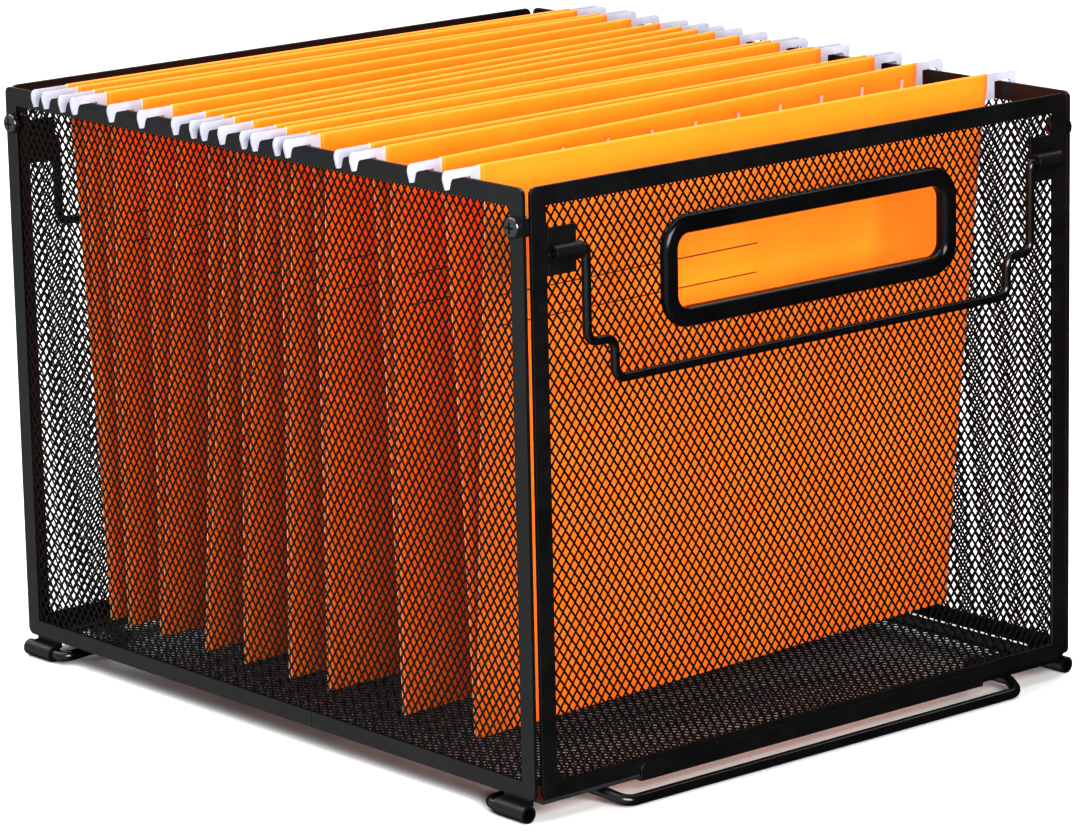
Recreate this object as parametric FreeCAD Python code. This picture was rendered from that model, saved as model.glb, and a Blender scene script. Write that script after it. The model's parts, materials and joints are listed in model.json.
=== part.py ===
"""Hanging file rack: a knock-down crate of black mesh panels that carries nine
letter-size hanging folders on the top rails of its two side panels.

Frame: millimetres, +Z up, floor at z = 0, X across the rack (along a folder),
Y from front (-) to rear (+). The origin is under the middle of the rack.
"""
import FreeCAD, Part
import math
import os

Vector = FreeCAD.Vector
X_AXIS = Vector(1, 0, 0)
Y_AXIS = Vector(0, 1, 0)
Z_AXIS = Vector(0, 0, 1)

# ---- driving dimensions of the crate -------------------------------------
WIDTH = 318.0             # over the outer faces of the side panels
DEPTH = 367.0             # over the outer faces of the front and rear panels
PANEL_HEIGHT = 258.5
PANEL_BOTTOM = 9.7        # height of the panels' lower edge above the floor
FRONT_PANEL_WIDTH = 311.0 # the front and rear panels stand between the side panels
SIDE_PANEL_WIDTH = 364.8

STRIP_WIDTH = 8.2         # folded steel strip round every mesh panel
LOWER_STRIP_WIDTH = 7.0   # the lower rail is narrower
STRIP_THICKNESS = 1.6
STRIP_CORNER_R = 3.0
SEAM_GAP = 0.25           # butt seam in a frame's lower rail
SIDE_SEAM_Y = -32.0       # nearer the front on the side panels
MESH_THICKNESS = 0.4      # plain sheet with the mass of the expanded mesh
MESH_GRIP = 2.0           # how far the mesh reaches into the strip

# ---- handle slot in the front and rear panels -----------------------------
SLOT_HEIGHT_UP = 212.3    # slot centre above the panels' lower edge
SLOT_LENGTH = 154.0
SLOT_OPEN = 31.2
SLOT_CORNER_R = 6.0
BEZEL_RIM = 8.6
BEZEL_PROUD = 3.6
BACKING_RIM = 6.0
BACKING_THICKNESS = 1.5

# ---- corner joints ----------------------------------------------------------
SCREW_DROP = 16.4         # screw axis below the top edge
SCREW_INSET = 6.4         # and behind the front panel's face
SCREW_R = 2.0
SCREW_HEAD_R = 4.6
SCREW_HEAD_HEIGHT = 2.8
HOLE_CLEARANCE = 0.1
TAB_THICKNESS = 1.2
TAB_HEIGHT = 7.5
TAB_REACH = 11.6
NUT_HEIGHT = 3.2
NUT_ACROSS_FLATS = 7.0

# ---- stacking bails -----------------------------------------------------------
BAIL_WIRE_R = 2.0
BARREL_CLEARANCE = 0.08
BAIL_DROP = 27.9          # pivot axis below the top edge
BRACKET_WIDTH = 15.2
BRACKET_HEIGHT = 20.0
BRACKET_THICKNESS = 1.2
BARREL_R = 3.8
BAIL_ARM_X = 129.3
BAIL_WAIST_X = 114.5
BAIL_STEP = 39.6          # from the pivot down to the inward step
BAIL_REACH = 57.1         # from the pivot down to the cross bar
BAIL_TIGHT_BEND = 2.3
BAIL_BEND = 5.0

# ---- base, feet and stacking catches -----------------------------------------
BASE_THICKNESS = 1.9
BASE_HALF_X = 155.5       # clear of the feet's leaves
BASE_STRIP = 12.0
CLIP_HALF_LENGTH = 102.0
CLIP_THICKNESS = 1.2
CLIP_RISE = 4.8           # lip height over the panels' lower edge
CLIP_CORNER_R = 3.5
FOOT_R = 3.7
FOOT_LENGTH = 19.5
FOOT_X = 160.5
FOOT_INSET = 3.5          # front end of a foot barrel behind the panel face
LEAF_THICKNESS = 1.4
LEAF_RISE = 6.0
LEAF_INSET = 5.7          # front edge of its leaf behind the panel face
CATCH_WIRE_R = 2.4
CATCH_BAR_X = 116.5
CATCH_LEG_X = 120.5
CATCH_PROUD = 8.6         # cross bar centre in front of the panel face
CATCH_BAR_Z = 2.6
CATCH_BEND = 7.0
CATCH_RUN_INSET = 30.5    # outward run under the base, from the panel face

# ---- hanging folders -------------------------------------------------------------
CARD_HALF_X = 147.5       # body of the card
CARD_TOP_HALF_X = 150.0   # the card flares at its rods
CARD_FLARE_DROP = 18.0    # the flare starts this far below the card's top
CARD_FLARE_END_DROP = 6.0
CARD_THICKNESS = 0.45
CARD_BOTTOM_UP = 14.0     # fold above the panels' lower edge
CARD_FOLD_HALF = 1.0
ROD_THICKNESS = 1.0
ROD_HALF_X = 155.0
ROD_UNDER = 8.0           # rod strip below the rail top
ROD_OVER = 3.7            # hook neck above the rail top
HOOK_CLEARANCE = 0.05
HEM_DROP = 10.0
HEM_LEAD_IN = 2.0         # the sheet meets the hem this far below it
HEM_BLANK_HALF_X = 155.0  # hems are made long, then trimmed to the card's outline
HOOK_OUTER_X = 169.4
HOOK_INNER_X = 165.0
HOOK_TIP_DROP = 4.2
HOOK_TIP_TAPER = 1.2
HOOK_CORNER_R = 2.5
HOOK_THROAT_R = 1.5

# where the front rod, rear rod and bottom fold of each folder cross the left and
# the right side rail, along Y: the folders hang slightly askew
FOLDERS = [
    ((-144.5, -139.0), (-120.5, -93.5), (-131.5, -114.5)),
    ((-83.0, -66.5), (-73.0, -61.5), (-83.0, -69.0)),
    ((-38.5, -31.0), (-31.5, -26.0), (-30.5, -24.0)),
    ((-15.5, -3.0), (-8.0, 2.5), (-3.0, 8.5)),
    ((8.0, 24.5), (21.0, 41.5), (29.5, 48.0)),
    ((29.0, 54.0), (42.0, 65.0), (58.0, 82.0)),
    ((66.5, 80.5), (89.0, 101.5), (92.5, 105.5)),
    ((116.5, 119.0), (125.5, 124.0), (117.5, 118.0)),
    ((138.5, 141.0), (146.5, 146.5), (131.5, 132.5)),
]

# ---- derived places --------------------------------------------------------------
FRONT_Y = -DEPTH / 2
RAIL_TOP = PANEL_BOTTOM + PANEL_HEIGHT
MESH_MID_Y = FRONT_Y + STRIP_THICKNESS / 2
MESH_FRONT_Y = MESH_MID_Y - MESH_THICKNESS / 2
MESH_BACK_Y = MESH_MID_Y + MESH_THICKNESS / 2
SLOT_Z = PANEL_BOTTOM + SLOT_HEIGHT_UP
SCREW_Z = RAIL_TOP - SCREW_DROP
SCREW_Y = FRONT_Y + SCREW_INSET
BAIL_Y = MESH_FRONT_Y - BARREL_R
BAIL_Z = RAIL_TOP - BAIL_DROP
FOOT_Z = FOOT_R
RAIL_X = WIDTH / 2 - STRIP_THICKNESS / 2
BASE_BOTTOM = PANEL_BOTTOM - BASE_THICKNESS


# ---- small builders ----------------------------------------------------------------
def box(x0, x1, y0, y1, z0, z1):
    """Box between two corners."""
    return Part.makeBox(x1 - x0, y1 - y0, z1 - z0, Vector(x0, y0, z0))


def cylinder(start, axis, length, radius):
    """Round bar from a start point along an axis."""
    return Part.makeCylinder(radius, length, start, axis)


def prism(points, along):
    """Closed polygon pushed along a vector."""
    corners = points + [points[0]]
    return Part.Face(Part.makePolygon(corners)).extrude(along)


def upright_plate(width, height, z_mid, y0, y1, corner_r):
    """Plate in the XZ plane, centred on X, with rounded corners."""
    plate = box(-width / 2, width / 2, y0, y1, z_mid - height / 2, z_mid + height / 2)
    if corner_r == 0:
        return plate
    edges = [e for e in plate.Edges if abs(e.tangentAt(e.FirstParameter).y) > 0.99]
    return plate.makeFillet(corner_r, edges)


def corner_arc(before, corner, after, radius):
    """Start, middle and end of the arc that rounds one corner of a path."""
    into = (before - corner).normalize()
    out = (after - corner).normalize()
    half_turn = into.getAngle(out) / 2
    reach = radius / math.tan(half_turn)
    to_centre = (into + out).normalize()
    centre = corner + to_centre * (radius / math.sin(half_turn))
    return corner + into * reach, centre - to_centre * radius, corner + out * reach


def bent_wire(points, bends, radius):
    """Round wire along straight runs joined by tangent arcs."""
    edges = []
    start = points[0]
    for before, corner, after, bend in zip(points, points[1:], points[2:], bends):
        first, middle, last = corner_arc(before, corner, after, bend)
        edges.append(Part.LineSegment(start, first).toShape())
        edges.append(Part.Arc(first, middle, last).toShape())
        start = last
    edges.append(Part.LineSegment(start, points[-1]).toShape())
    path = Part.Wire(edges)
    heading = (points[1] - points[0]).normalize()
    section = Part.Wire([Part.makeCircle(radius, points[0], heading)])
    return path.makePipeShell([section], True, True)


def mirrored(points):
    """A path drawn from the middle outwards, completed to both sides."""
    other_side = [Vector(-p.x, p.y, p.z) for p in reversed(points)]
    return other_side + points


def turned(shape, degrees):
    """Copy of a shape turned about the rack's vertical middle line."""
    copy = shape.copy()
    copy.rotate(Vector(0, 0, 0), Z_AXIS, degrees)
    return copy


def other_side(shape):
    """Copy mirrored to the other side of the rack's left-right middle."""
    return shape.mirror(Vector(0, 0, 0), X_AXIS)


def save(name, shapes):
    """Write one node as a STEP file of its separate solids."""
    solids = []
    for shape in shapes:
        solids.extend(shape.Solids)
    body = solids[0] if len(solids) == 1 else Part.makeCompound(solids)
    body.exportStep(os.path.join("parts", name + ".step"))


# ---- mesh panels ---------------------------------------------------------------------
def mesh_sheet(width, offset_y, slotted):
    """Mesh of an upright panel, as a plain sheet clamped by its frame."""
    half_width = width / 2 - STRIP_WIDTH + MESH_GRIP
    low = PANEL_BOTTOM + LOWER_STRIP_WIDTH - MESH_GRIP
    high = RAIL_TOP - STRIP_WIDTH + MESH_GRIP
    y0 = offset_y + STRIP_THICKNESS / 2 - MESH_THICKNESS / 2
    sheet = box(-half_width, half_width, y0, y0 + MESH_THICKNESS, low, high)
    if not slotted:
        return sheet
    opening = upright_plate(SLOT_LENGTH, SLOT_OPEN, SLOT_Z, y0 - 1, y0 + 1, SLOT_CORNER_R)
    return sheet.cut(opening)


def mitred_rails(half_a, half_b, strip, lower_strip, to_world, along):
    """Four mitred bars of a rectangular frame, lower rail first."""
    outer = [(-half_a, -half_b), (half_a, -half_b), (half_a, half_b), (-half_a, half_b)]
    inner_a = half_a - strip
    inner = [(-inner_a, lower_strip - half_b), (inner_a, lower_strip - half_b),
             (inner_a, half_b - strip), (-inner_a, half_b - strip)]
    rails = []
    for i in range(4):
        j = (i + 1) % 4
        ring = [outer[i], outer[j], inner[j], inner[i]]
        rails.append(prism([to_world(a, b) for a, b in ring], along))
    return rails


def panel_frame(width, offset_y, seam_x, sheet):
    """Folded strip round a panel: mitred corners, clamped mesh, one butt seam."""
    mid_z = PANEL_BOTTOM + PANEL_HEIGHT / 2
    back_y = offset_y + STRIP_THICKNESS
    outline = upright_plate(width, PANEL_HEIGHT, mid_z, offset_y, back_y, STRIP_CORNER_R)
    seam = box(seam_x - SEAM_GAP / 2, seam_x + SEAM_GAP / 2, offset_y, back_y,
               PANEL_BOTTOM, PANEL_BOTTOM + LOWER_STRIP_WIDTH)
    rails = mitred_rails(width / 2, PANEL_HEIGHT / 2, STRIP_WIDTH, LOWER_STRIP_WIDTH,
                         lambda a, b: Vector(a, offset_y, mid_z + b),
                         Y_AXIS * STRIP_THICKNESS)
    rails = [rail.common(outline).cut(sheet) for rail in rails]
    rails[0] = rails[0].cut(seam)
    return rails


def screw_places():
    """Front-left and rear-left screw axes, on the left panel's outer face."""
    return [Vector(-WIDTH / 2, side * SCREW_Y, SCREW_Z) for side in (1, -1)]


def drill_for_screws(pieces):
    """Clearance holes for the corner screws in the pieces of the left side panel."""
    drilled = pieces
    for place in screw_places():
        hole = cylinder(place, X_AXIS, STRIP_THICKNESS, SCREW_R + HOLE_CLEARANCE)
        drilled = [piece.cut(hole) for piece in drilled]
    return drilled


def build_panels():
    """The four upright panels: frames and meshes."""
    side_offset = -WIDTH / 2
    side_sheet = mesh_sheet(SIDE_PANEL_WIDTH, side_offset, False)
    side_rails = panel_frame(SIDE_PANEL_WIDTH, side_offset, -SIDE_SEAM_Y, side_sheet)
    left_rails = drill_for_screws([turned(rail, -90) for rail in side_rails])
    left_mesh = drill_for_screws([turned(side_sheet, -90)])
    save("left_side_frame", left_rails)
    save("left_side_mesh", left_mesh)
    save("right_side_frame", [other_side(rail) for rail in left_rails])
    save("right_side_mesh", [other_side(sheet) for sheet in left_mesh])
    front_sheet = mesh_sheet(FRONT_PANEL_WIDTH, FRONT_Y, True)
    front_rails = panel_frame(FRONT_PANEL_WIDTH, FRONT_Y, 0, front_sheet)
    for name, angle in (("front", 0), ("rear", 180)):
        save(name + "_frame", [turned(rail, angle) for rail in front_rails])
        save(name + "_mesh", [turned(front_sheet, angle)])


# ---- handle slots -----------------------------------------------------------------------
def slot_ring(rim, y0, y1):
    """Flat ring round the handle slot."""
    ring = upright_plate(SLOT_LENGTH + 2 * rim, SLOT_OPEN + 2 * rim, SLOT_Z,
                         y0, y1, SLOT_CORNER_R + rim)
    hole = upright_plate(SLOT_LENGTH, SLOT_OPEN, SLOT_Z, y0 - 1, y1 + 1, SLOT_CORNER_R)
    return ring.cut(hole)


def handle_bezel():
    """Raised rim of the handle slot, rounded on its outer side."""
    face_y = MESH_FRONT_Y - BEZEL_PROUD
    ring = slot_ring(BEZEL_RIM, face_y, MESH_FRONT_Y)
    edges = [e for e in ring.Edges if abs(e.BoundBox.YMin - face_y) < 0.01
             and e.BoundBox.YLength < 0.01]
    return ring.makeFillet(BEZEL_PROUD - 0.4, edges)


def build_handles():
    """Bezel outside and backing ring inside each slotted panel."""
    bezel = handle_bezel()
    backing = slot_ring(BACKING_RIM, MESH_BACK_Y, MESH_BACK_Y + BACKING_THICKNESS)
    for name, angle in (("front", 0), ("rear", 180)):
        save(name + "_handle_bezel", [turned(bezel, angle)])
        save(name + "_handle_backing", [turned(backing, angle)])


# ---- corner joints --------------------------------------------------------------------------
def corner_tab():
    """L-shaped tab: welded inside the front frame, screwed to the side frame."""
    side_x = -WIDTH / 2 + STRIP_THICKNESS
    frame_y = FRONT_Y + STRIP_THICKNESS
    z0 = SCREW_Z - TAB_HEIGHT / 2
    z1 = SCREW_Z + TAB_HEIGHT / 2
    welded_leg = box(side_x, side_x + STRIP_WIDTH, frame_y, frame_y + TAB_THICKNESS, z0, z1)
    screwed_leg = box(side_x, side_x + TAB_THICKNESS, frame_y, frame_y + TAB_REACH, z0, z1)
    hole = cylinder(Vector(side_x, SCREW_Y, SCREW_Z), X_AXIS, TAB_THICKNESS,
                    SCREW_R + HOLE_CLEARANCE)
    return welded_leg.fuse(screwed_leg).removeSplitter().cut(hole)


def corner_screw(place):
    """Pan-head screw with a cross recess, driven inwards from a left panel."""
    head = cylinder(place - X_AXIS * SCREW_HEAD_HEIGHT, X_AXIS, SCREW_HEAD_HEIGHT, SCREW_HEAD_R)
    rim = [e for e in head.Edges if e.BoundBox.XMax < place.x - SCREW_HEAD_HEIGHT + 0.01]
    head = head.makeFillet(SCREW_HEAD_HEIGHT * 0.6, rim)
    shank = cylinder(place, X_AXIS, STRIP_THICKNESS + TAB_THICKNESS + NUT_HEIGHT + 1, SCREW_R)
    arm = SCREW_HEAD_R * 0.55
    recess_depth = SCREW_HEAD_HEIGHT * 0.6
    x0 = place.x - SCREW_HEAD_HEIGHT
    upright = box(x0, x0 + recess_depth, place.y - 0.5, place.y + 0.5,
                  place.z - arm, place.z + arm)
    level = box(x0, x0 + recess_depth, place.y - arm, place.y + arm,
                place.z - 0.5, place.z + 0.5)
    return head.fuse(shank).cut(upright).cut(level)


def corner_nut(place):
    """Hexagon nut inside the corner tab."""
    radius = NUT_ACROSS_FLATS / math.sqrt(3)
    x0 = -WIDTH / 2 + STRIP_THICKNESS + TAB_THICKNESS
    corners = []
    for i in range(6):
        angle = math.radians(60 * i + 30)
        corners.append(Vector(x0, place.y + radius * math.cos(angle),
                              place.z + radius * math.sin(angle)))
    nut = prism(corners, X_AXIS * NUT_HEIGHT)
    bore = cylinder(Vector(x0, place.y, place.z), X_AXIS, NUT_HEIGHT, SCREW_R + HOLE_CLEARANCE / 2)
    return nut.cut(bore)


def build_corner_joints():
    """Tabs, screws and nuts at the four corners."""
    tab = corner_tab()
    save("front_left_corner_tab", [tab])
    save("front_right_corner_tab", [other_side(tab)])
    save("rear_right_corner_tab", [turned(tab, 180)])
    save("rear_left_corner_tab", [turned(other_side(tab), 180)])
    screws = [corner_screw(place) for place in screw_places()]
    nuts = [corner_nut(place) for place in screw_places()]
    save("corner_screws", screws + [other_side(s) for s in screws])
    save("corner_nuts", nuts + [other_side(n) for n in nuts])


# ---- stacking bails ---------------------------------------------------------------------------
def bail_bracket():
    """Stamped plate on the front mesh with a rolled barrel for the bail's end."""
    x0 = -FRONT_PANEL_WIDTH / 2 + STRIP_WIDTH
    z_mid = BAIL_Z + 0.4
    plate = box(x0, x0 + BRACKET_WIDTH, MESH_FRONT_Y - BRACKET_THICKNESS, MESH_FRONT_Y,
                z_mid - BRACKET_HEIGHT / 2, z_mid + BRACKET_HEIGHT / 2)
    start = Vector(x0, BAIL_Y, BAIL_Z)
    barrel = cylinder(start, X_AXIS, BRACKET_WIDTH, BARREL_R)
    bore = cylinder(start, X_AXIS, BRACKET_WIDTH, BAIL_WIRE_R + BARREL_CLEARANCE)
    return plate.fuse(barrel).cut(bore)


def bail():
    """Formed wire loop that hangs from the two barrels of one panel."""
    half = [
        Vector(BAIL_WAIST_X, BAIL_Y, BAIL_Z - BAIL_REACH),
        Vector(BAIL_WAIST_X, BAIL_Y, BAIL_Z - BAIL_STEP),
        Vector(BAIL_ARM_X, BAIL_Y, BAIL_Z - BAIL_STEP),
        Vector(BAIL_ARM_X, BAIL_Y, BAIL_Z),
        Vector(FRONT_PANEL_WIDTH / 2 - STRIP_WIDTH - 2.0, BAIL_Y, BAIL_Z),
    ]
    bends = [BAIL_TIGHT_BEND, BAIL_BEND, BAIL_BEND, BAIL_BEND]
    return bent_wire(mirrored(half), bends + bends[::-1], BAIL_WIRE_R)


def build_bails():
    """Brackets and bails on the front and rear panels."""
    bracket = bail_bracket()
    save("front_left_bail_bracket", [bracket])
    save("front_right_bail_bracket", [other_side(bracket)])
    save("rear_right_bail_bracket", [turned(bracket, 180)])
    save("rear_left_bail_bracket", [turned(other_side(bracket), 180)])
    loop = bail()
    save("front_bail", [loop])
    save("rear_bail", [turned(loop, 180)])


# ---- base, feet and catches ----------------------------------------------------------------------
def base_sheet():
    """Mesh floor of the crate, as a plain sheet clamped by the base frame."""
    half_x = BASE_HALF_X - BASE_STRIP + MESH_GRIP
    half_y = DEPTH / 2 - BASE_STRIP + MESH_GRIP
    z0 = BASE_BOTTOM + BASE_THICKNESS / 2 - MESH_THICKNESS / 2
    return box(-half_x, half_x, -half_y, half_y, z0, z0 + MESH_THICKNESS)


def base_frame(sheet):
    """Flat mitred frame under the front and rear panels."""
    rails = mitred_rails(BASE_HALF_X, DEPTH / 2, BASE_STRIP, BASE_STRIP,
                         lambda a, b: Vector(a, b, BASE_BOTTOM), Z_AXIS * BASE_THICKNESS)
    return [rail.cut(sheet) for rail in rails]


def base_clip():
    """Angle strip under the base whose lip holds the front panel's lower rail."""
    z0 = BASE_BOTTOM - CLIP_THICKNESS
    lip_top = PANEL_BOTTOM + CLIP_RISE
    lip = box(-CLIP_HALF_LENGTH, CLIP_HALF_LENGTH, FRONT_Y - CLIP_THICKNESS, FRONT_Y, z0, lip_top)
    ends = [e for e in lip.Edges if e.BoundBox.ZMin > lip_top - 0.01 and e.BoundBox.XLength < 0.01]
    lip = lip.makeFillet(CLIP_CORNER_R, ends)
    flange = box(-CLIP_HALF_LENGTH, CLIP_HALF_LENGTH, FRONT_Y, FRONT_Y + BASE_STRIP,
                 z0, BASE_BOTTOM)
    return lip.fuse(flange)


def foot_hinge():
    """Rolled foot barrel under the front-left corner, with its welded leaf."""
    y0 = FRONT_Y + FOOT_INSET
    barrel = cylinder(Vector(-FOOT_X, y0, FOOT_Z), Y_AXIS, FOOT_LENGTH, FOOT_R)
    bore = cylinder(Vector(-FOOT_X, y0, FOOT_Z), Y_AXIS, FOOT_LENGTH,
                    CATCH_WIRE_R + BARREL_CLEARANCE)
    leaf_x = -WIDTH / 2 + STRIP_THICKNESS
    leaf_y = FRONT_Y + LEAF_INSET
    shelf_top = FOOT_Z + FOOT_R
    shelf = box(-FOOT_X, leaf_x + LEAF_THICKNESS, leaf_y, y0 + FOOT_LENGTH,
                shelf_top - LEAF_THICKNESS, shelf_top)
    leaf = box(leaf_x, leaf_x + LEAF_THICKNESS, leaf_y, y0 + FOOT_LENGTH,
               shelf_top - LEAF_THICKNESS, PANEL_BOTTOM + LEAF_RISE)
    return barrel.fuse(shelf).fuse(leaf).cut(bore)


def catch_wire():
    """Formed wire under the base: a bar out in front, its ends in the feet."""
    bar_y = FRONT_Y - CATCH_PROUD
    run_y = FRONT_Y + CATCH_RUN_INSET
    under_z = BASE_BOTTOM - CATCH_WIRE_R
    foot_end_y = FRONT_Y + FOOT_INSET + FOOT_LENGTH * 0.6
    half = [
        Vector(CATCH_BAR_X, bar_y, CATCH_BAR_Z),
        Vector(CATCH_LEG_X, FRONT_Y + 1.0, under_z),
        Vector(CATCH_LEG_X, run_y, under_z),
        Vector(FOOT_X, run_y, FOOT_Z),
        Vector(FOOT_X, foot_end_y, FOOT_Z),
    ]
    bends = [4.5, CATCH_BEND, 10.0, CATCH_BEND]
    return bent_wire(mirrored(half), bends + bends[::-1], CATCH_WIRE_R)


def build_base():
    """Mesh floor, clips, feet and catch wires."""
    sheet = base_sheet()
    save("base_mesh", [sheet])
    save("base_frame", base_frame(sheet))
    clip = base_clip()
    wire = catch_wire()
    for name, angle in (("front", 0), ("rear", 180)):
        save(name + "_base_clip", [turned(clip, angle)])
        save(name + "_catch_wire", [turned(wire, angle)])
    foot = foot_hinge()
    save("front_left_foot", [foot])
    save("front_right_foot", [other_side(foot)])
    save("rear_right_foot", [turned(foot, 180)])
    save("rear_left_foot", [turned(other_side(foot), 180)])


# ---- hanging folders --------------------------------------------------------------------------------
def heading(ends):
    """Angle about Z of a line across the rack, from its y over each side rail."""
    return math.atan2(ends[1] - ends[0], 2 * RAIL_X)


def laid_along(shape, ends):
    """A shape built along the X axis, laid along such a line."""
    copy = turned(shape, math.degrees(heading(ends)))
    copy.translate(Vector(0, (ends[0] + ends[1]) / 2, 0))
    return copy


def face_y(ends, offset, x):
    """Where a face parallel to such a line, set off from it, crosses a plane of constant x."""
    angle = heading(ends)
    return (ends[0] + ends[1]) / 2 + x * math.tan(angle) + offset / math.cos(angle)


def rod_outline():
    """Half outline of a rod in the XZ plane, from its middle out to the left hook."""
    y = -ROD_THICKNESS / 2
    neck_bottom = RAIL_TOP + HOOK_CLEARANCE
    top = RAIL_TOP + ROD_OVER
    low = RAIL_TOP - ROD_UNDER
    tip = RAIL_TOP - HOOK_TIP_DROP
    return [
        Vector(0, y, low),
        Vector(-ROD_HALF_X, y, low),
        Vector(-ROD_HALF_X, y, neck_bottom),
        Vector(-HOOK_INNER_X, y, neck_bottom),
        Vector(-HOOK_INNER_X - HOOK_TIP_TAPER, y, tip),
        Vector(-HOOK_OUTER_X + HOOK_TIP_TAPER, y, tip),
        Vector(-HOOK_OUTER_X, y, neck_bottom),
        Vector(-HOOK_OUTER_X, y, top),
        Vector(0, y, top),
    ]


def folder_rod():
    """Flat coated strip with a hook at each end, along the X axis."""
    left = prism(rod_outline(), Y_AXIS * ROD_THICKNESS)
    rod = left.fuse(other_side(left)).removeSplitter()
    across = [e for e in rod.Edges if e.BoundBox.YLength > ROD_THICKNESS / 2]
    ends = [e for e in across if e.BoundBox.ZMin > RAIL_TOP + ROD_OVER - 0.1
            and abs(e.BoundBox.XMin) > HOOK_INNER_X]
    throats = [e for e in across if abs(e.BoundBox.ZMin - RAIL_TOP - HOOK_CLEARANCE) < 0.01
               and abs(abs(e.BoundBox.XMin) - HOOK_INNER_X) < 0.01]
    return rod.makeFillet(HOOK_CORNER_R, ends).makeFillet(HOOK_THROAT_R, throats)


def card_blank():
    """Face outline of a folder flap: a straight body that flares at the rods."""
    top = RAIL_TOP + ROD_OVER + 2 * CARD_THICKNESS
    flare = top - CARD_FLARE_DROP
    half = [
        Vector(CARD_HALF_X, -DEPTH / 2, 0),
        Vector(CARD_HALF_X, -DEPTH / 2, flare),
        Vector(CARD_TOP_HALF_X, -DEPTH / 2, top - CARD_FLARE_END_DROP),
        Vector(CARD_TOP_HALF_X, -DEPTH / 2, top),
    ]
    other_half = [Vector(-p.x, p.y, p.z) for p in reversed(half)]
    return prism(half + other_half, Y_AXIS * DEPTH)


def flap_sheets(rod, fold, outward):
    """The sheet of one flap, up from the bottom fold to the hem, between two askew lines.

    It is two flat triangles either side of the diagonal that stands further out.
    """
    low = PANEL_BOTTOM + CARD_BOTTOM_UP
    bend = RAIL_TOP - HEM_DROP - HEM_LEAD_IN
    at_rod = outward * ROD_THICKNESS / 2
    at_fold = outward * (CARD_FOLD_HALF - CARD_THICKNESS)
    rod_left, rod_right = [Vector(x, face_y(rod, at_rod, x), bend)
                           for x in (-CARD_TOP_HALF_X, CARD_TOP_HALF_X)]
    fold_left, fold_right = [Vector(x, face_y(fold, at_fold, x), low)
                             for x in (-CARD_TOP_HALF_X, CARD_TOP_HALF_X)]
    if outward * (rod_left.y + fold_right.y) > outward * (rod_right.y + fold_left.y):
        triangles = [[rod_left, rod_right, fold_right], [rod_left, fold_right, fold_left]]
    else:
        triangles = [[rod_right, rod_left, fold_left], [rod_right, fold_left, fold_right]]
    return [prism(corners, Y_AXIS * outward * CARD_THICKNESS) for corners in triangles]


def hem(outward):
    """The hem that wraps a rod, along the X axis; its inner side faces into the folder."""
    outer = outward * (ROD_THICKNESS / 2 + CARD_THICKNESS)
    inner = outward * ROD_THICKNESS / 2
    low = RAIL_TOP - HEM_DROP
    bend = low - HEM_LEAD_IN
    top = RAIL_TOP + ROD_OVER + CARD_THICKNESS
    section = [
        Vector(-HEM_BLANK_HALF_X, outer, bend),
        Vector(-HEM_BLANK_HALF_X, outer, top),
        Vector(-HEM_BLANK_HALF_X, -outer, top),
        Vector(-HEM_BLANK_HALF_X, -outer, low),
        Vector(-HEM_BLANK_HALF_X, inner, bend),
    ]
    return prism(section, X_AXIS * 2 * HEM_BLANK_HALF_X)


def bottom_fold():
    """Narrow flat bottom of a folder, along the X axis."""
    low = PANEL_BOTTOM + CARD_BOTTOM_UP
    return box(-CARD_TOP_HALF_X, CARD_TOP_HALF_X, -CARD_FOLD_HALF, CARD_FOLD_HALF,
               low - CARD_THICKNESS, low)


def build_folders():
    """Nine hanging folders, each a card on two hooked rods."""
    blank = card_blank()
    straight_rod = folder_rod()
    hems = {side: hem(side).cut(straight_rod) for side in (-1, 1)}
    for number, (front, rear, fold) in enumerate(FOLDERS, start=1):
        rods = [laid_along(straight_rod, ends) for ends in (front, rear)]
        card = [laid_along(bottom_fold(), fold)]
        for side, ends in ((-1, front), (1, rear)):
            card.append(laid_along(hems[side], ends))
            card.extend(flap_sheets(ends, fold, side))
        save("folder_%d_rods" % number, rods)
        save("folder_%d_card" % number, [piece.common(blank) for piece in card])


os.makedirs("parts", exist_ok=True)
build_panels()
build_handles()
build_corner_joints()
build_bails()
build_base()
build_folders()
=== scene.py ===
"""Looks of a hanging file rack: a black mesh crate on wire catches, with swinging
wire bails and nine orange hanging folders on its side rails.

Metres, +Z up, floor at z = 0, X across the rack, Y from front (-) to rear (+).
"""
import json
import math
import bpy
import numpy as np
from mathutils import Matrix, Vector, noise


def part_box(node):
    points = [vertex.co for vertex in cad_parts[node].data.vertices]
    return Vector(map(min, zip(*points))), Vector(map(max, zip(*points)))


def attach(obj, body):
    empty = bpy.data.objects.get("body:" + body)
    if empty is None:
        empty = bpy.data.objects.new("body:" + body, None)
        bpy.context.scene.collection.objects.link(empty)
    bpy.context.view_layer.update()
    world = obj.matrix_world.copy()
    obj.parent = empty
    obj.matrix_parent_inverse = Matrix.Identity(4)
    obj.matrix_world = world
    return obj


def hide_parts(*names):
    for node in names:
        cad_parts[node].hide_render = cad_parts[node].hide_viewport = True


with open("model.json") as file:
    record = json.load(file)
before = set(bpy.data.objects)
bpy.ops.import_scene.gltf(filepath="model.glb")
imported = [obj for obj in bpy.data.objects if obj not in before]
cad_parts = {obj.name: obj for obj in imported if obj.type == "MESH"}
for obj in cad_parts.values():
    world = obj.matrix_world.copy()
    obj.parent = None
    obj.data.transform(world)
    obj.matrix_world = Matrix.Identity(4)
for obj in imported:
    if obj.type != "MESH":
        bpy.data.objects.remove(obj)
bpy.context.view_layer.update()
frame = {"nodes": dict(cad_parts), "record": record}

MM = 0.001
NODES = frame["nodes"]

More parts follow.
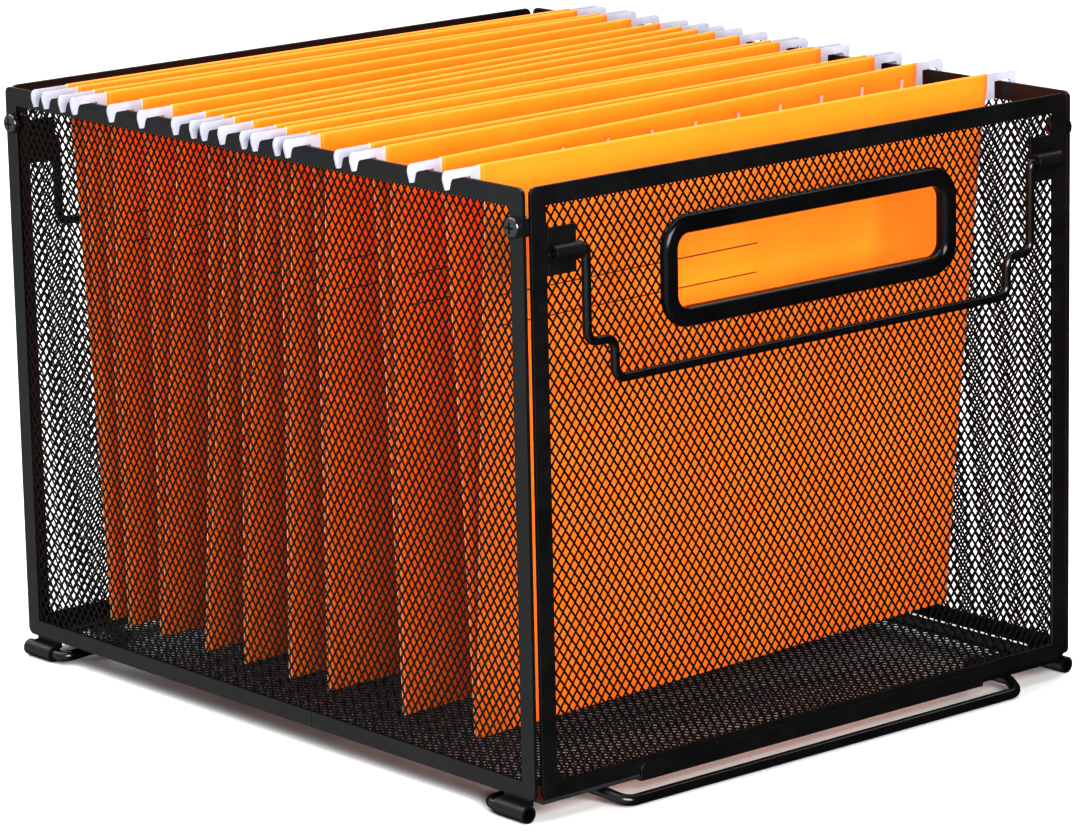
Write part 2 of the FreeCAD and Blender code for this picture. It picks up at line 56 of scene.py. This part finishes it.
# ---- expanded-steel mesh ---------------------------------------------------------
DIAMOND_WIDTH = 4.52 * MM       # level, from knuckle to knuckle
DIAMOND_HEIGHT = 6.27 * MM
BASE_COARSENESS = 1.06          # the base mesh is a little coarser
KNUCKLE_HALF_WIDTH = 0.51 * MM
KNUCKLE_HALF_FLAT = 0.14 * MM   # upright flat at each side of a knuckle
KNUCKLE_HALF_HEIGHT = 0.80 * MM
STRAND_THICKNESS = 0.42 * MM
STRAND_TILT = 0.10 * MM         # upper edges stand this far out, lower edges this far in
MESH_CUT_BACK = 2.5 * MM        # the mesh stops this far outside the handle slot

# ---- folder card --------------------------------------------------------------------
CARD_THICKNESS = 0.45 * MM
ROD_THICKNESS = 1.0 * MM
FOLD_HALF = 1.0 * MM
HEM_DROP = 14.15 * MM           # the hem's lower edge, below the card's top
BEND_DROP = 16.15 * MM          # the flap leaves the rod's plane here, below the top
FLARE_START_DROP = 18.0 * MM
FLARE_END_DROP = 6.0 * MM
CARD_HALF_X = 147.5 * MM
CARD_TOP_HALF_X = 150.0 * MM
FLAP_BOW = 0.8 * MM             # a flap bellies this far into the folder
FLAP_RIPPLE = 0.35 * MM
SHEET_ROWS = 22                 # rows of a flap between its bend and the fold
SHEET_PITCH = 6 * MM            # columns of a flap, away from its tab slots
SLOT_MARGIN = 1.6 * MM          # no column stands closer to a slot's side than this
SLOT_PITCH = 26.9 * MM          # tab slots in a flap's hem
SLOT_SHIFT = 3.2 * MM           # the middle slot stands this far right of the middle
SLOT_COUNT = 11
SLOT_WIDTH = 1.8 * MM
SLOT_TOP_DROP = 6.2 * MM
SLOT_BOTTOM_DROP = 12.6 * MM

# ---- marks on the card, in mm on the flat sheet: across from the middle, up from the fold --------
PAINTED_HIGHLIGHT_UP = 248.1               # painted highlight: the card is paler from here up, where light falls on the top of the fold over the rod
RULE_HEIGHTS = (179.1, 192.2)   # ruled lines on a front flap
RULE_LEFT = -139.0
RULE_RIGHT = 10.5
RULE_HALF_WIDTH = 0.32
SCORE_PLACES = (5.5, 102.5)     # upright score lines
SCORE_HALF_WIDTH = 0.35

# ---- handle bezel and eased edges ---------------------------------------------------------
BEZEL_RIM = 8.6 * MM
MESH_CUT_CORNER_R = 8.5 * MM
FRAME_EDGE = 0.75 * MM          # rolled edges of the panels' strips
PLATE_EDGE = 0.30 * MM          # and of clips, brackets and tabs

# ---- camera, at a product photograph's angle -----------------------------------------
CAMERA_PLACE = Vector((-1.4610, -1.7309, 0.6508))
CAMERA_AZIMUTH = math.radians(40.21)
CAMERA_TILT = math.radians(13.27)
CAMERA_ROLL = math.radians(-1.20)
CAMERA_LENS = 170.07
SENSOR_WIDTH = 36.0

# ---- studio light ------------------------------------------------------------------------
SKY_COLOUR = (0.96, 0.98, 1.0, 1)
SKY_LIGHT = 0.30
LEFT_SHEEN = 1.4                # the surround's strength in reflections, on the rack's left
RIGHT_SHEEN = 0.03
FLOOR_REACH = 12.0
CONTRAST_GAMMA = 0.78


# ---- materials -------------------------------------------------------------------------
BLACK = (0.0016, 0.0016, 0.0019)
SOFT_BLACK = (0.0034, 0.0034, 0.0039)
OXIDE_BLACK = (0.012, 0.012, 0.013)


class Paint:
    """One procedural material, built node by node round a Principled shader."""

    def __init__(self, name, **sockets):
        self.material = bpy.data.materials.new(name)
        self.material.use_nodes = True
        self.nodes = self.material.node_tree.nodes
        self.links = self.material.node_tree.links
        self.shader = self.nodes["Principled BSDF"]
        for socket, value in sockets.items():
            self.shader.inputs[socket.replace("_", " ")].default_value = value
        self.place = self.nodes.new("ShaderNodeTexCoord").outputs["Object"]

    def noise(self, scale, detail=3.0, stretch=(1, 1, 1)):
        """Noise in the rack's own coordinates, stretched along the axes."""
        mapping = self.nodes.new("ShaderNodeMapping")
        mapping.inputs["Scale"].default_value = stretch
        self.links.new(self.place, mapping.inputs["Vector"])
        node = self.nodes.new("ShaderNodeTexNoise")
        node.inputs["Scale"].default_value = scale
        node.inputs["Detail"].default_value = detail
        self.links.new(mapping.outputs["Vector"], node.inputs["Vector"])
        return node.outputs["Fac"]

    def ramp(self, value, stops):
        """Colour ramp through (position, colour) stops."""
        node = self.nodes.new("ShaderNodeValToRGB")
        elements = node.color_ramp.elements
        while len(elements) < len(stops):
            elements.new(0.5)
        for element, (position, colour) in zip(elements, stops):
            element.position = position
            element.color = (*colour, 1.0)
        self.links.new(value, node.inputs["Fac"])
        return node.outputs["Color"]

    def spread(self, value, low, high):
        """Noise between about 0.3 and 0.7, spread over a range."""
        node = self.nodes.new("ShaderNodeMapRange")
        node.inputs["From Min"].default_value = 0.3
        node.inputs["From Max"].default_value = 0.7
        node.inputs["To Min"].default_value = low
        node.inputs["To Max"].default_value = high
        self.links.new(value, node.inputs["Value"])
        return node.outputs["Result"]

    def mix(self, share, first, second):
        """A colour mixed into another by a share that varies over the surface."""
        node = self.nodes.new("ShaderNodeMix")
        node.data_type = "RGBA"
        self.links.new(share, node.inputs[0])
        self.links.new(first, node.inputs[6])
        node.inputs[7].default_value = (*second, 1.0)
        return node.outputs[2]

    def math(self, operation, first, second):
        """A sum of two values, each a socket or a number."""
        node = self.nodes.new("ShaderNodeMath")
        node.operation = operation
        for socket, value in zip(node.inputs, (first, second)):
            if isinstance(value, (int, float)):
                socket.default_value = value
            else:
                self.links.new(value, socket)
        return node.outputs[0]

    def stripes(self, coordinate, places, half_width):
        """One on narrow stripes at places along a coordinate, zero between them."""
        total = None
        for place in places:
            stripe = self.math("COMPARE", coordinate, place)
            stripe.node.inputs[2].default_value = half_width
            total = stripe if total is None else self.math("ADD", total, stripe)
        return total

    def bump(self, height, distance):
        """Bump on top of whatever bump the shader already has."""
        node = self.nodes.new("ShaderNodeBump")
        node.inputs["Distance"].default_value = distance
        node.inputs["Strength"].default_value = 1.0
        self.links.new(height, node.inputs["Height"])
        earlier = self.shader.inputs["Normal"]
        if earlier.is_linked:
            self.links.new(earlier.links[0].from_socket, node.inputs["Normal"])
        self.links.new(node.outputs["Normal"], earlier)

    def set(self, socket, value):
        """Links a value that varies over the surface to the shader."""
        self.links.new(value, self.shader.inputs[socket])


def coating(name, light, smooth, rough, peel, specular):
    """Black coat: slight clouds in its black, uneven gloss and orange peel."""
    paint = Paint(name, Specular_IOR_Level=specular)
    clouds = paint.noise(55, 4)
    paint.set("Base Color", paint.ramp(clouds, [(0.3, BLACK), (0.7, light)]))
    paint.set("Roughness", paint.spread(paint.noise(160, 3), smooth, rough))
    paint.bump(paint.noise(900, 2), peel)
    paint.bump(paint.noise(3500, 1), peel * 0.3)
    return paint.material


def card_paint():
    """Orange card: mottled dye, fibres, score and ruled lines, and a painted highlight, a paler
    band along the top of the fold over the rod.

    Its marks are placed by the sheet attribute: (across, up, flap), with flap 0 at the front.
    """
    paint = Paint("orange_card", Specular_IOR_Level=0.3, Sheen_Weight=0.10, Sheen_Roughness=0.5)
    mottle = paint.noise(22, 5)
    fibres = paint.noise(1500, 4, (0.35, 1, 1))
    dye = paint.ramp(mottle, [(0.25, (0.95, 0.190, 0.004)), (0.75, (1.0, 0.235, 0.007))])
    colour = paint.mix(paint.spread(fibres, 0.0, 0.25), dye, (0.88, 0.150, 0.004))
    sheet = paint.nodes.new("ShaderNodeAttribute")
    sheet.attribute_name = "sheet"
    axes = paint.nodes.new("ShaderNodeSeparateXYZ")
    paint.links.new(sheet.outputs["Vector"], axes.inputs[0])
    across, up, flap = axes.outputs
    rules = paint.stripes(up, RULE_HEIGHTS, RULE_HALF_WIDTH)
    for limit in (paint.math("GREATER_THAN", across, RULE_LEFT),
                  paint.math("LESS_THAN", across, RULE_RIGHT),
                  paint.math("LESS_THAN", flap, 0.5)):
        rules = paint.math("MULTIPLY", rules, limit)
    colour = paint.mix(paint.math("MULTIPLY", rules, 0.95), colour, (0.10, 0.018, 0.003))
    # painted highlight: a paler band along the top of the fold over the rod, where the light falls,
    # with a ragged lower edge
    highlight_edge_jitter = paint.math("MULTIPLY", paint.spread(fibres, -0.5, 0.5), 0.4)
    painted_highlight = paint.math("GREATER_THAN", paint.math("ADD", up, highlight_edge_jitter), PAINTED_HIGHLIGHT_UP)
    colour = paint.mix(paint.math("MULTIPLY", painted_highlight, 0.6), colour, (1.0, 0.25, 0.03))
    paint.set("Base Color", colour)
    scores = paint.stripes(across, SCORE_PLACES, SCORE_HALF_WIDTH)
    paint.set("Roughness", paint.spread(mottle, 0.52, 0.66))
    paint.bump(fibres, 0.03 * MM)
    paint.bump(mottle, 0.4 * MM)
    paint.bump(paint.math("MULTIPLY", scores, -1.0), 0.12 * MM)
    return paint.material


def card_edge_paint():
    """Cut edge of the card, where the paler core shows."""
    paint = Paint("card_cut_edge", Specular_IOR_Level=0.2, Roughness=0.8)
    fibres = paint.noise(2500, 4)
    core = [(0.3, (1.0, 0.60, 0.26)), (0.7, (1.0, 0.78, 0.50))]
    paint.set("Base Color", paint.ramp(fibres, core))
    paint.bump(fibres, 0.05 * MM)
    return paint.material


def white_coat_paint():
    """White dipped coating of the folder rods."""
    paint = Paint("white_rod_coating", Specular_IOR_Level=0.5)
    clouds = paint.noise(90, 3)
    whites = [(0.3, (0.34, 0.345, 0.40)), (0.7, (0.39, 0.395, 0.45))]
    paint.set("Base Color", paint.ramp(clouds, whites))
    paint.set("Roughness", paint.spread(paint.noise(400, 2), 0.28, 0.42))
    paint.bump(paint.noise(700, 2), 0.05 * MM)
    return paint.material


def nut_paint():
    """Black-oxide nut, with bare metal showing where it was turned."""
    paint = Paint("oxide_nut", Metallic=0.8)
    wear = paint.noise(500, 5)
    metal = [(0.45, (0.03, 0.03, 0.033)), (0.75, (0.16, 0.16, 0.17))]
    paint.set("Base Color", paint.ramp(wear, metal))
    paint.set("Roughness", paint.spread(wear, 0.3, 0.5))
    paint.bump(wear, 0.02 * MM)
    return paint.material


def floor_paint():
    """Plain pale floor with a slight sheen."""
    paint = Paint("pale_floor", Specular_IOR_Level=0.4)
    haze = paint.noise(3, 4)
    greys = [(0.3, (0.86, 0.86, 0.865)), (0.7, (0.90, 0.90, 0.90))]
    paint.set("Base Color", paint.ramp(haze, greys))
    paint.set("Roughness", paint.spread(haze, 0.16, 0.22))
    return paint.material


# black coats: name, lighter clouds, smoothest and roughest gloss, depth of peel, specular level
PAINTS = {
    "frame_coating": coating("frame_powder_coat", SOFT_BLACK, 0.34, 0.46, 0.035 * MM, 0.40),
    "mesh_coating": coating("mesh_powder_coat", SOFT_BLACK, 0.40, 0.52, 0.02 * MM, 0.16),
    "wire_coating": coating("wire_powder_coat", SOFT_BLACK, 0.16, 0.26, 0.02 * MM, 0.45),
    "handle_rim": coating("handle_gloss_coat", SOFT_BLACK, 0.12, 0.20, 0.03 * MM, 0.22),
    "screw_black": coating("screw_black_oxide", OXIDE_BLACK, 0.12, 0.22, 0.02 * MM, 0.8),
    "nut_zinc": nut_paint(),
    "folder_card": card_paint(),
    "card_edge": card_edge_paint(),
    "rod_coating": white_coat_paint(),
}


# ---- meshes from arrays ------------------------------------------------------------------
def new_piece(name, points, faces, slot, body, *replaced):
    """A smooth-shaded mesh piece that rides on a body and stands for CAD nodes."""
    mesh = bpy.data.meshes.new(name)
    mesh.from_pydata(points, [], faces)
    mesh.validate()
    mesh.shade_smooth()
    piece = bpy.data.objects.new(name, mesh)
    bpy.context.scene.collection.objects.link(piece)
    piece.data.materials.append(PAINTS[slot])
    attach(piece, body)
    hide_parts(*replaced)
    return piece


def in_rounded_slot(u, v, half_u, half_v, radius):
    """Whether a point lies in a rounded rectangle round the origin."""
    du = max(abs(u) - (half_u - radius), 0.0)
    dv = max(abs(v) - (half_v - radius), 0.0)
    return math.hypot(du, dv) < radius


def knuckle_grid(half_u, half_v, hole, coarseness):
    """Places of the mesh's knuckles by grid number, with the pitch fitted to the panel."""
    room_u = 2 * (half_u - KNUCKLE_HALF_WIDTH)
    room_v = 2 * (half_v - KNUCKLE_HALF_HEIGHT)
    count_u = 2 * round(room_u / DIAMOND_WIDTH / coarseness)
    count_v = 2 * round(room_v / DIAMOND_HEIGHT / coarseness)
    places = {}
    for i in range(count_u + 1):
        for j in range(count_v + 1):
            u = (i / count_u - 0.5) * room_u
            v = (j / count_v - 0.5) * room_v
            if (i + j) % 2 == 0 and not hole(u, v):
                places[i, j] = (u, v)
    return places


def diamond_mesh(half_u, half_v, hole, coarseness):
    """Points (u, v, out) and faces of an expanded-steel sheet centred on the origin."""
    outline = [(0, KNUCKLE_HALF_HEIGHT), (KNUCKLE_HALF_WIDTH, KNUCKLE_HALF_FLAT),
               (KNUCKLE_HALF_WIDTH, -KNUCKLE_HALF_FLAT), (0, -KNUCKLE_HALF_HEIGHT),
               (-KNUCKLE_HALF_WIDTH, -KNUCKLE_HALF_FLAT), (-KNUCKLE_HALF_WIDTH, KNUCKLE_HALF_FLAT)]
    top, upper_right, lower_right, bottom, lower_left, upper_left = range(6)
    places = knuckle_grid(half_u, half_v, hole, coarseness)
    first = {key: 6 * n for n, key in enumerate(places)}
    front = []
    for u, v in places.values():
        for du, dv in outline:
            tilt = STRAND_TILT * dv / KNUCKLE_HALF_HEIGHT
            front.append((u + du, v + dv, STRAND_THICKNESS / 2 + tilt))
    faces = []
    for (i, j), a in first.items():
        ring = (top, upper_left, lower_left, bottom, lower_right, upper_right)
        faces.append([a + k for k in ring])
        right = first.get((i + 1, j + 1))
        if right is not None:
            faces.append([a + top, a + upper_right, right + bottom, right + lower_left])
        left = first.get((i - 1, j + 1))
        if left is not None:
            faces.append([a + upper_left, a + top, left + lower_right, left + bottom])
    back = [(u, v, out - STRAND_THICKNESS) for u, v, out in front]
    offset = len(front)
    edges = {(face[k], face[(k + 1) % len(face)]) for face in faces for k in range(len(face))}
    walls = [(p, p + offset, q + offset, q) for p, q in sorted(edges) if (q, p) not in edges]
    backs = [[offset + k for k in reversed(face)] for face in faces]
    return front + back, faces + backs + walls


def mesh_panel(node, across, up, hole=lambda u, v: False, coarseness=1.0):
    """Diamond mesh in place of a CAD sheet; across and up are the sheet's own axes."""
    low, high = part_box(node)
    middle = (low + high) / 2
    size = high - low
    half_u = abs(size.dot(across)) / 2
    half_v = abs(size.dot(up)) / 2
    out = across.cross(up)
    points, faces = diamond_mesh(half_u, half_v, hole, coarseness)
    places = [middle + across * u + up * v + out * w for u, v, w in points]
    new_piece(node + "_diamonds", places, faces, "mesh_coating", "crate", node)


def handle_hole(bezel, sheet):
    """Test for the part of a slotted panel's mesh that is cut away, in the mesh's own plane."""
    low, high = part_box(bezel)
    mesh_low, mesh_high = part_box(sheet)
    lift = (low.z + high.z) / 2 - (mesh_low.z + mesh_high.z) / 2
    half_u = (high.x - low.x) / 2 - BEZEL_RIM + MESH_CUT_BACK
    half_v = (high.z - low.z) / 2 - BEZEL_RIM + MESH_CUT_BACK
    return lambda u, v: in_rounded_slot(u, v - lift, half_u, half_v, MESH_CUT_CORNER_R)


def build_meshes():
    """Diamond mesh in the four panels and the base."""
    x_axis, y_axis, z_axis = Vector((1, 0, 0)), Vector((0, 1, 0)), Vector((0, 0, 1))
    for side, across in (("front", x_axis), ("rear", -x_axis)):
        node = side + "_mesh"
        mesh_panel(node, across, z_axis, handle_hole(side + "_handle_bezel", node))
    mesh_panel("left_side_mesh", -y_axis, z_axis)
    mesh_panel("right_side_mesh", y_axis, z_axis)
    mesh_panel("base_mesh", x_axis, y_axis, coarseness=BASE_COARSENESS)


# ---- folder cards ----------------------------------------------------------------------------
def line_through(points):
    """Middle and slope (y over x) of the straight line that fits points across the rack."""
    xs = np.array([p.x for p in points])
    ys = np.array([p.y for p in points])
    slope, middle = np.polyfit(xs, ys, 1)
    return float(middle), float(slope)


def folder_lines(number):
    """The lines of a folder's front rod, rear rod and bottom fold, and its lowest and highest z."""
    rods = [v.co for v in NODES["folder_%d_rods" % number].data.vertices]
    card = [v.co for v in NODES["folder_%d_card" % number].data.vertices]
    reach = max(p.x for p in rods) - 1 * MM
    left_ys = [p.y for p in rods if p.x < -reach]
    right_ys = [p.y for p in rods if p.x > reach]
    lines = []
    for pick, inward in ((min, 1), (max, -1)):
        left = pick(left_ys)
        right = pick(right_ys)
        middle = (left + right) / 2 + inward * ROD_THICKNESS / 2
        lines.append((middle, (right - left) / (2 * reach)))
    low_z = min(p.z for p in card)
    lines.append(line_through([p for p in card if p.z < low_z + 0.1 * MM]))
    return lines, low_z, max(p.z for p in card)


def card_profile(low_z, top_z):
    """Rows of one sheet, from the front flap's hem to the rear flap's.

    Each row gives its height, how far it is from the fold (0) to the rod (1), which flap it
    is on (-1 front, 1 rear) and how far it stands outside that flap's line.
    """
    radius = ROD_THICKNESS / 2 + CARD_THICKNESS / 2
    arc_z = top_z - radius - CARD_THICKNESS / 2
    bend_z = top_z - BEND_DROP
    fold_r = FOLD_HALF - CARD_THICKNESS / 2
    fold_z = low_z + CARD_THICKNESS / 2 + fold_r
    half = []
    for drop in (HEM_DROP, SLOT_BOTTOM_DROP, SLOT_TOP_DROP, (SLOT_TOP_DROP + 3 * MM) / 2):
        half.append((top_z - drop, 1.0, -radius))
    for k in range(7):
        angle = math.pi * k / 6
        half.append((arc_z + radius * math.sin(angle), 1.0, -radius * math.cos(angle)))
    for drop in (5 * MM, SLOT_TOP_DROP, SLOT_BOTTOM_DROP, BEND_DROP):
        half.append((top_z - drop, 1.0, radius))
    for k in range(1, SHEET_ROWS + 1):
        share = 1 - k / SHEET_ROWS
        half.append((fold_z + (bend_z - fold_z) * share, share, fold_r + (radius - fold_r) * share))
    for k in range(1, 4):
        angle = math.pi / 2 * k / 3
        half.append((fold_z - fold_r * math.sin(angle), 0.0, fold_r * math.cos(angle)))
    rows = [(z, share, -1, offset) for z, share, offset in half]
    rows += [(z, share, 1, offset) for z, share, offset in reversed(half[:-1])]
    return rows


def card_stations():
    """Columns of a flap, left to right, with one at each side of every slot; slots' middles."""
    slots = [SLOT_SHIFT + (k - (SLOT_COUNT - 1) / 2) * SLOT_PITCH for k in range(SLOT_COUNT)]
    edges = sorted({round(s + side * SLOT_WIDTH / 2, 6) for s in slots for side in (-1, 1)})
    between = [x * SHEET_PITCH for x in range(-24, 25)]
    stations = edges + [x for x in between if min(abs(x - e) for e in edges) > SLOT_MARGIN]
    stations += [-CARD_HALF_X, CARD_HALF_X]
    return sorted(stations), slots


def half_width(z, top_z):
    """Half width of the card at a height: it flares towards the rods."""
    share = (z - (top_z - FLARE_START_DROP)) / (FLARE_START_DROP - FLARE_END_DROP)
    return CARD_HALF_X + (CARD_TOP_HALF_X - CARD_HALF_X) * min(max(share, 0.0), 1.0)


def build_card(number):
    """One folded sheet over both rods of a folder, with tab slots through its hems."""
    lines, low_z, top_z = folder_lines(number)
    rod_lines = {-1: lines[0], 1: lines[1]}
    fold_middle, fold_slope = lines[2]
    rows = card_profile(low_z, top_z)
    stations, slots = card_stations()
    points = []
    sheet = []
    for z, share, flap, offset in rows:
        widen = half_width(z, top_z) / CARD_HALF_X
        middle, slope = rod_lines[flap]
        belly = math.sin(math.pi * share) if share < 1 else 0.0
        for station in stations:
            x = station * widen
            y = (middle + slope * x) * share + (fold_middle + fold_slope * x) * (1 - share)
            ripple = noise.noise(Vector((x * 9, z * 7, number * 3.1 + flap)))
            inward = FLAP_BOW * belly + FLAP_RIPPLE * belly * ripple
            points.append((x, y + flap * (offset - inward), z))
            sheet.append((station / MM, (z - low_z) / MM, 0.0 if flap < 0 else 1.0))
    wide = len(stations)
    faces = []
    for r in range(len(rows) - 1):
        z_mid = (rows[r][0] + rows[r + 1][0]) / 2
        hem_row = rows[r][1] == 1.0 and rows[r + 1][1] == 1.0
        slot_row = hem_row and top_z - SLOT_BOTTOM_DROP < z_mid < top_z - SLOT_TOP_DROP
        slot_row = slot_row and rows[r][3] < 0 and rows[r + 1][3] < 0
        for c in range(wide - 1):
            x_mid = (stations[c] + stations[c + 1]) / 2
            if slot_row and any(abs(x_mid - s) < SLOT_WIDTH / 2 for s in slots):
                continue
            corner = r * wide + c
            faces.append((corner, corner + 1, corner + wide + 1, corner + wide))
    body = "folder_%d" % number
    piece = new_piece(body + "_card_sheet", points, faces, "folder_card", body, body + "_card")
    layer = piece.data.attributes.new("sheet", "FLOAT_VECTOR", "POINT")
    layer.data.foreach_set("vector", np.array(sheet, np.float32).ravel())
    piece.data.materials.append(PAINTS["card_edge"])
    shell = piece.modifiers.new("thickness", "SOLIDIFY")
    shell.thickness = CARD_THICKNESS
    shell.offset = 0.0
    shell.material_offset_rim = 1


# ---- CAD nodes that stay --------------------------------------------------------------------
def ease_edges(node, width, segments):
    """Rolls the sharp edges of a CAD node, with modifiers only."""
    weld = node.modifiers.new("weld", "WELD")
    weld.merge_threshold = 0.001 * MM
    flat = node.modifiers.new("flat_faces", "DECIMATE")
    flat.decimate_type = "DISSOLVE"
    flat.angle_limit = math.radians(1.0)
    bevel = node.modifiers.new("rolled_edges", "BEVEL")
    bevel.width = width
    bevel.segments = segments
    bevel.limit_method = "ANGLE"
    bevel.angle_limit = math.radians(35)
    normals = node.modifiers.new("normals", "WEIGHTED_NORMAL")
    normals.keep_sharp = False


def paint_nodes():
    """Each CAD node that stays takes the paint of its slot in the record."""
    slots = {part["node"]: part["material_slot"] for part in frame["record"]["subparts"]}
    for name, node in NODES.items():
        node.data.materials.clear()
        node.data.materials.append(PAINTS[slots[name]])
    for name in NODES:
        if name.endswith("_frame"):
            ease_edges(NODES[name], FRAME_EDGE, 3)
        elif name.endswith(("_base_clip", "_bail_bracket", "_corner_tab")):
            ease_edges(NODES[name], PLATE_EDGE, 2)


# ---- studio ----------------------------------------------------------------------------------
def add_camera():
    """Long lens, left of the front and a little above the rack, with a slight roll."""
    ahead = Vector((math.sin(CAMERA_AZIMUTH) * math.cos(CAMERA_TILT),
                    math.cos(CAMERA_AZIMUTH) * math.cos(CAMERA_TILT), -math.sin(CAMERA_TILT)))
    level = Vector((math.cos(CAMERA_AZIMUTH), -math.sin(CAMERA_AZIMUTH), 0))
    upright = level.cross(ahead)
    right = level * math.cos(CAMERA_ROLL) + upright * math.sin(CAMERA_ROLL)
    up = upright * math.cos(CAMERA_ROLL) - level * math.sin(CAMERA_ROLL)
    lens = bpy.data.cameras.new("camera")
    lens.lens = CAMERA_LENS
    lens.sensor_width = SENSOR_WIDTH
    lens.clip_start = 0.05
    lens.clip_end = 50.0
    camera = bpy.data.objects.new("camera", lens)
    bpy.context.scene.collection.objects.link(camera)
    turn = Matrix((right, up, -ahead)).transposed()
    camera.matrix_world = Matrix.Translation(CAMERA_PLACE) @ turn.to_4x4()
    bpy.context.scene.camera = camera


def add_softbox(name, place, aim, width, height, power):
    """Rectangular light that points at a place."""
    light = bpy.data.lights.new(name, "AREA")
    light.shape = "RECTANGLE"
    light.size = width
    light.size_y = height
    light.energy = power
    lamp = bpy.data.objects.new(name, light)
    bpy.context.scene.collection.objects.link(lamp)
    lamp.location = place
    lamp.rotation_euler = (Vector(aim) - Vector(place)).to_track_quat("-Z", "Y").to_euler()


def add_studio():
    """Pale floor, a surround that is dark in reflections on the right, and two soft lights."""
    mesh = bpy.data.meshes.new("studio_floor")
    signs = ((-1, -1), (1, -1), (1, 1), (-1, 1))
    corners = [(x * FLOOR_REACH, y * FLOOR_REACH, 0) for x, y in signs]
    mesh.from_pydata(corners, [], [(0, 1, 2, 3)])
    mesh.materials.append(floor_paint())
    floor = bpy.data.objects.new("studio_floor", mesh)
    bpy.context.scene.collection.objects.link(floor)
    floor.visible_glossy = False
    world = bpy.data.worlds.new("surround")
    world.use_nodes = True
    nodes, links = world.node_tree.nodes, world.node_tree.links
    direction = nodes.new("ShaderNodeSeparateXYZ")
    links.new(nodes.new("ShaderNodeTexCoord").outputs["Generated"], direction.inputs[0])
    flags = nodes.new("ShaderNodeMapRange")
    for socket, value in (("From Min", -0.7), ("From Max", 0.0),
                          ("To Min", LEFT_SHEEN), ("To Max", RIGHT_SHEEN)):
        flags.inputs[socket].default_value = value
    links.new(direction.outputs["X"], flags.inputs["Value"])
    surround = nodes["World Output"].inputs["Surface"]
    path = nodes.new("ShaderNodeLightPath")
    backgrounds = {}
    for ray, strength in (("diffuse", SKY_LIGHT), ("glossy", 1.0), ("camera", 1.0)):
        backgrounds[ray] = nodes.new("ShaderNodeBackground")
        backgrounds[ray].inputs["Strength"].default_value = strength
        backgrounds[ray].inputs["Color"].default_value = SKY_COLOUR
    links.new(flags.outputs["Result"], backgrounds["glossy"].inputs["Strength"])
    shared = backgrounds["diffuse"].outputs[0]
    for ray in ("glossy", "camera"):
        mix = nodes.new("ShaderNodeMixShader")
        links.new(path.outputs["Is %s Ray" % ray.title()], mix.inputs[0])
        links.new(shared, mix.inputs[1])
        links.new(backgrounds[ray].outputs[0], mix.inputs[2])
        shared = mix.outputs[0]
    links.new(shared, surround)
    bpy.context.scene.world = world
    add_softbox("top_softbox", (0.3, 1.9, 2.6), (0.3, 1.9, 0.0), 5.0, 5.0, 300)
    add_softbox("front_softbox", (-0.90, -2.30, 1.0), (0, 0, 0.15), 1.8, 1.4, 160)
    bpy.context.scene.view_settings.view_transform = "Standard"
    bpy.context.scene.view_settings.gamma = CONTRAST_GAMMA


add_camera()
paint_nodes()
build_meshes()
for folder in range(1, 10):
    build_card(folder)
add_studio()
